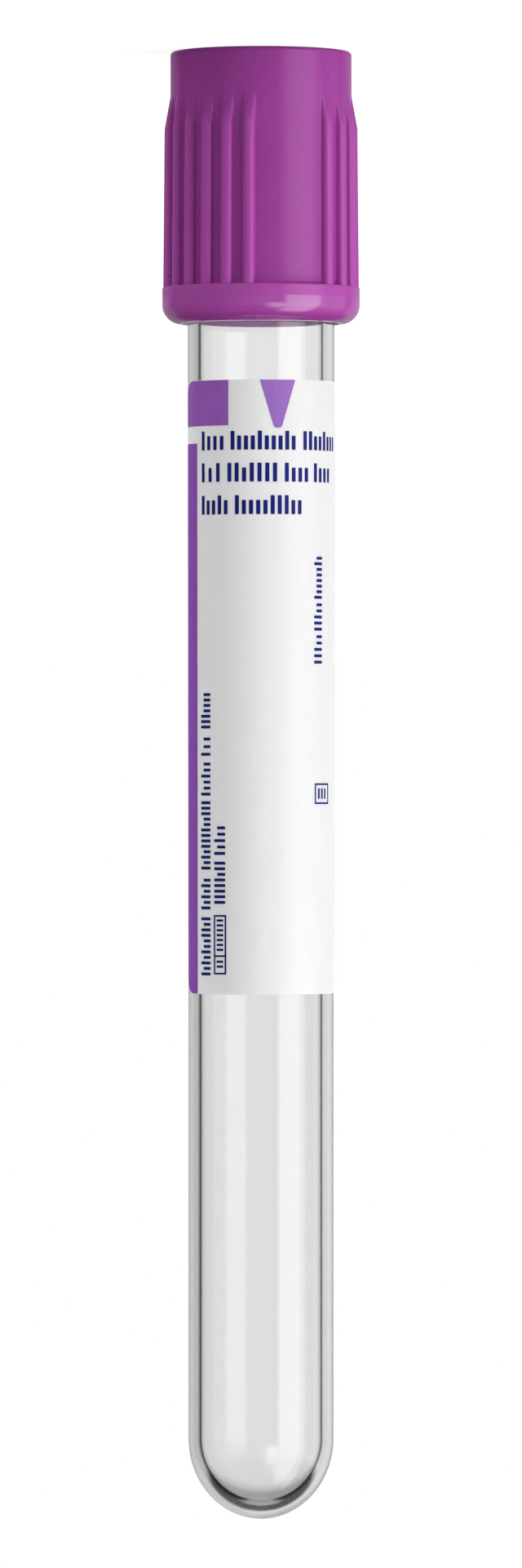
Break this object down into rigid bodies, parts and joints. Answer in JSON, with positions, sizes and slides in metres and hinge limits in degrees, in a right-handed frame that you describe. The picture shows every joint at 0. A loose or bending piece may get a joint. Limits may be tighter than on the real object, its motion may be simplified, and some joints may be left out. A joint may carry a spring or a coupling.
{
  "type": "blood collection tube",
  "caption": "Clear round-bottomed plastic tube with a wrap label, closed by a rubber stopper held in a ribbed push-on shield, for drawing and keeping a blood sample. It stands on the flat rim of its shield.",
  "frame": {"origin": "on the surface that the shield's flat rim stands on, on the tube's axis", "axes": "+Z along the tube from the closure to the round bottom; -Y the side that the label faces; +X to the label's left when the closure is held uppermost"},
  "size_m": [0.0174, 0.0174, 0.1295],
  "materials": {
    "clear_plastic": "clear moulded, polished",
    "purple_plastic": "moulded, satin gloss",
    "stopper_rubber": "moulded, matt",
    "label_paper": "smooth white label stock, printed in purple and navy"
  },
  "bodies": {
    "shield": {"shield": "purple_plastic"},
    "stopper": {"stopper": "stopper_rubber"},
    "tube": {"tube": "clear_plastic", "label": "label_paper"}
  },
  "joints": [
    {"name": "shield_turn", "type": "hinge", "parent": "shield", "child": "stopper", "pos_m": [0, 0, 0.0085], "axis": [0, 0, 1], "continuous": true},
    {"name": "closure_pull", "type": "slide", "parent": "stopper", "child": "tube", "axis": [0, 0, 1], "range_m": [0, 0.04]}
  ]
}
